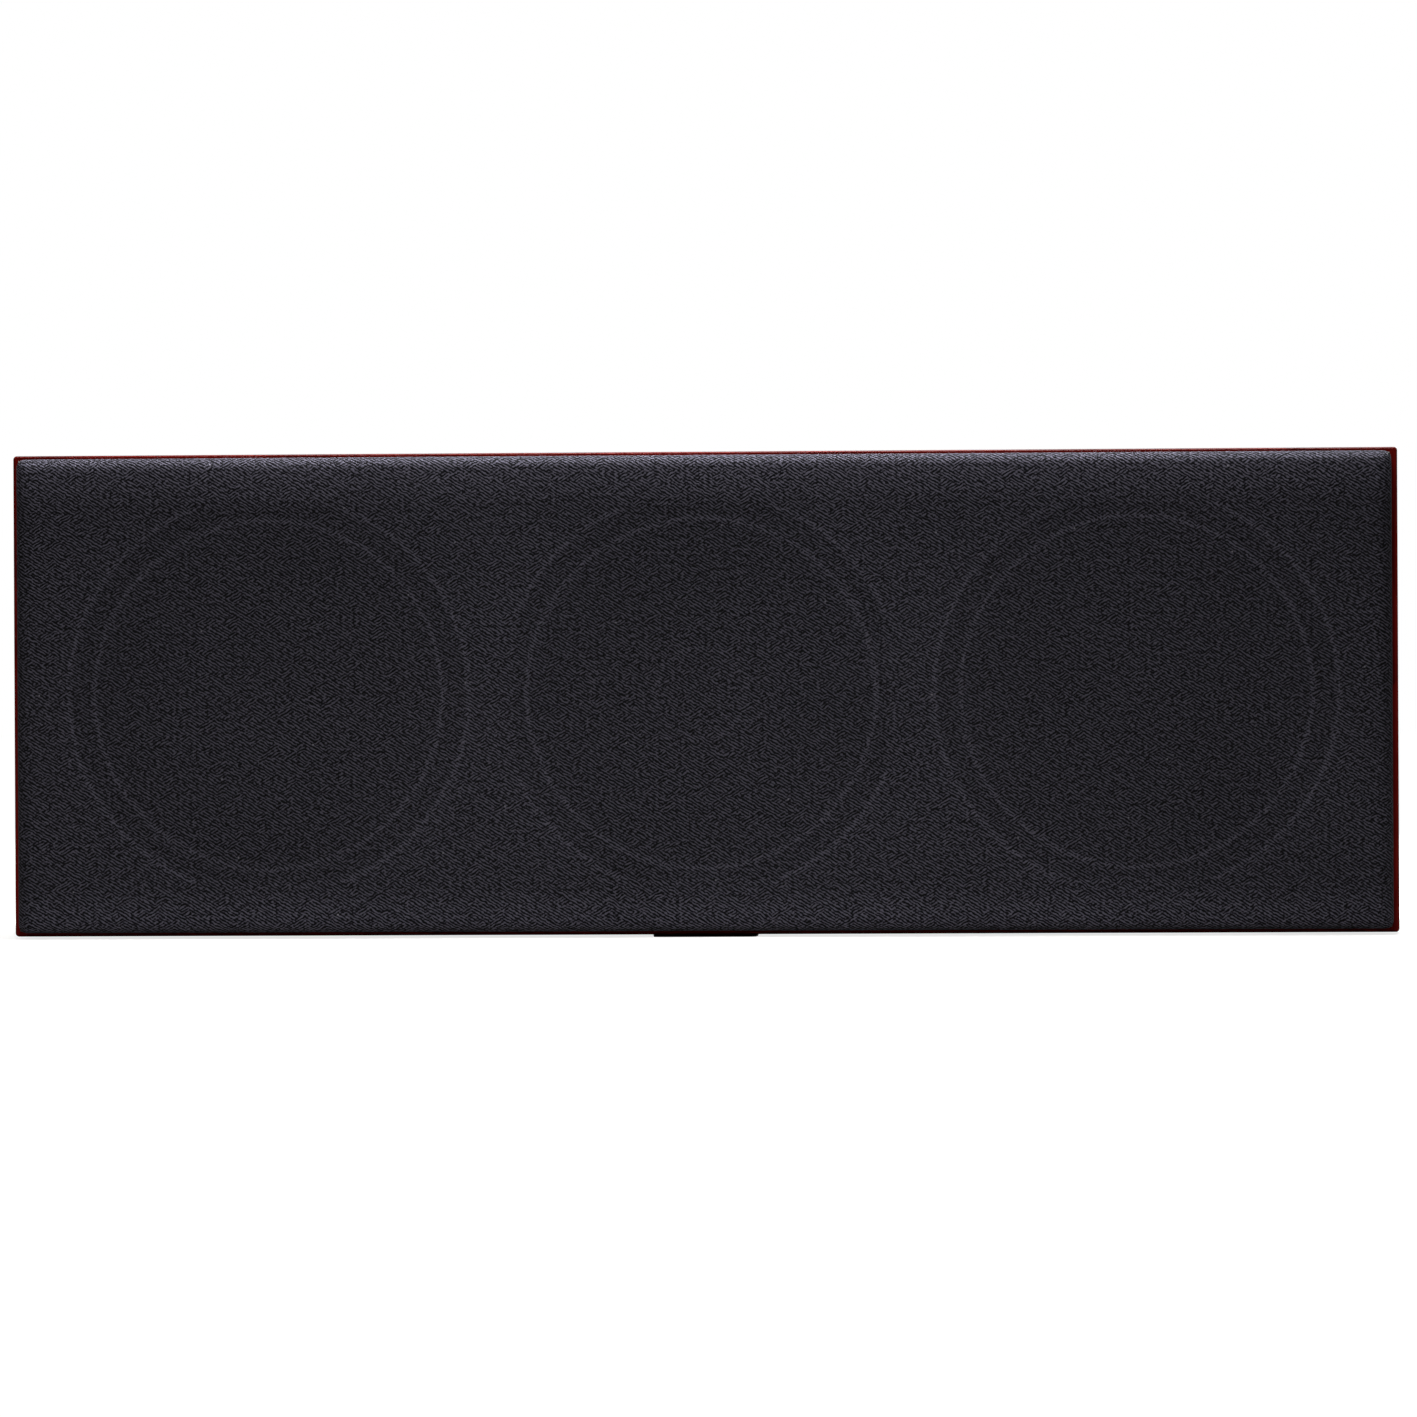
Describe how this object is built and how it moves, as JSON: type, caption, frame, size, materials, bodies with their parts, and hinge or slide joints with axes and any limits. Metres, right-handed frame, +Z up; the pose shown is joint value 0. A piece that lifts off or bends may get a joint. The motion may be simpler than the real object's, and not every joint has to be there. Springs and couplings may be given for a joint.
{
  "type": "center channel speaker",
  "caption": "Long low center channel speaker: dark veneered cabinet, pull-off cloth grille over cone drivers and a post-mounted tweeter, rear ports and binding posts.",
  "frame": {"origin": "on the floor under the center of the overall depth and width", "axes": "+Z up, front faces -Y, +X to the right seen from the front"},
  "size_m": [0.632, 0.3214, 0.2212],
  "materials": {
    "veneer": "satin dark red-brown wood veneer",
    "black_board": "matt black painted board",
    "rear_vinyl": "black grained vinyl on board",
    "raw_board": "bare fibreboard",
    "wadding": "white fibre wadding",
    "foot_rubber": "black rubber",
    "black_plastic": "matt black moulded plastic",
    "port_plastic": "fine textured black plastic",
    "foam_gasket": "closed-cell foam",
    "black_steel": "black oxide steel",
    "gilt_brass": "gilt brass",
    "red_plastic": "clear red plastic",
    "cap_black": "gloss black plastic",
    "circuit_board": "green circuit board",
    "copper_wire": "enamelled copper wire",
    "capacitor_film": "yellow film capacitor",
    "resistor_ceramic": "white ceramic",
    "lead_jacket": "soft wire jacket",
    "plated_steel": "zinc plated steel",
    "trim_plastic": "satin black plastic",
    "silk": "coated silk",
    "grille_cloth": "charcoal knitted cloth",
    "cast_basket": "black coated casting",
    "surround_rubber": "soft butyl rubber",
    "spider_cloth": "resin treated cloth",
    "ferrite": "sintered ferrite",
    "cone_paper": "coated paper pulp",
    "dust_cap": "coated paper pulp"
  },
  "bodies": {
    "cabinet": {"cabinet_sleeve": "veneer", "front_baffle": "black_board", "rear_panel": "rear_vinyl", "chamber_walls": "raw_board", "damping_wadding": "wadding", "front_foot": "foot_rubber", "rear_feet": "foot_rubber", "grille_sockets": "black_plastic", "driver_gaskets": "foam_gasket", "wood_screws": "black_steel", "port_tube_left": "port_plastic", "port_tube_right": "port_plastic", "terminal_plate": "black_plastic", "binding_post_studs": "gilt_brass", "binding_post_collars": "gilt_brass", "crossover_board": "circuit_board", "crossover_spacers": "black_plastic", "crossover_inductors": "copper_wire", "crossover_capacitors": "capacitor_film", "crossover_resistors": "resistor_ceramic", "internal_leads": "lead_jacket", "tweeter_pod": "black_plastic", "tweeter_motor": "plated_steel", "tweeter_waveguide": "trim_plastic", "tweeter_dome": "silk", "left_woofer_basket": "cast_basket", "left_woofer_trim_ring": "trim_plastic", "left_woofer_surround": "surround_rubber", "left_woofer_spider": "spider_cloth", "left_woofer_top_plate": "plated_steel", "left_woofer_magnet": "ferrite", "left_woofer_back_plate": "plated_steel", "middle_basket": "cast_basket", "middle_trim_ring": "trim_plastic", "middle_surround": "surround_rubber", "middle_spider": "spider_cloth", "middle_top_plate": "plated_steel", "middle_magnet": "ferrite", "middle_back_plate": "plated_steel", "right_woofer_basket": "cast_basket", "right_woofer_trim_ring": "trim_plastic", "right_woofer_surround": "surround_rubber", "right_woofer_spider": "spider_cloth", "right_woofer_top_plate": "plated_steel", "right_woofer_magnet": "ferrite", "right_woofer_back_plate": "plated_steel"},
    "grille": {"grille_frame": "black_board", "grille_cloth": "grille_cloth", "grille_pegs": "black_plastic"},
    "left_cone": {"left_woofer_cone": "cone_paper", "left_woofer_voice_coil": "copper_wire", "left_woofer_dust_cap": "dust_cap"},
    "middle_cone_body": {"middle_cone": "cone_paper", "middle_voice_coil": "copper_wire"},
    "right_cone": {"right_woofer_cone": "cone_paper", "right_woofer_voice_coil": "copper_wire", "right_woofer_dust_cap": "dust_cap"},
    "red_cap": {"binding_post_cap_red": "red_plastic"},
    "black_cap": {"binding_post_cap_black": "cap_black"}
  },
  "joints": [
    {"name": "grille_pull", "type": "slide", "parent": "cabinet", "child": "grille", "axis": [0, -1, 0], "range_m": [0, 0.16]},
    {"name": "left_woofer_travel", "type": "slide", "parent": "cabinet", "child": "left_cone", "axis": [0, -1, 0], "range_m": [-0.004, 0.004], "stiffness_N_per_m": 1000, "deforming": ["left_woofer_surround", "left_woofer_spider"]},
    {"name": "middle_travel", "type": "slide", "parent": "cabinet", "child": "middle_cone_body", "axis": [0, -1, 0], "range_m": [-0.004, 0.004], "stiffness_N_per_m": 1000, "deforming": ["middle_surround", "middle_spider"]},
    {"name": "right_woofer_travel", "type": "slide", "parent": "cabinet", "child": "right_cone", "axis": [0, -1, 0], "range_m": [-0.004, 0.004], "stiffness_N_per_m": 1000, "deforming": ["right_woofer_surround", "right_woofer_spider"]},
    {"name": "red_cap_turn", "type": "hinge", "parent": "cabinet", "child": "red_cap", "pos_m": [0.0095, 0.15216, 0.1112], "axis": [0, 1, 0], "continuous": true},
    {"name": "black_cap_turn", "type": "hinge", "parent": "cabinet", "child": "black_cap", "pos_m": [-0.0095, 0.15216, 0.1112], "axis": [0, 1, 0], "continuous": true}
  ]
}
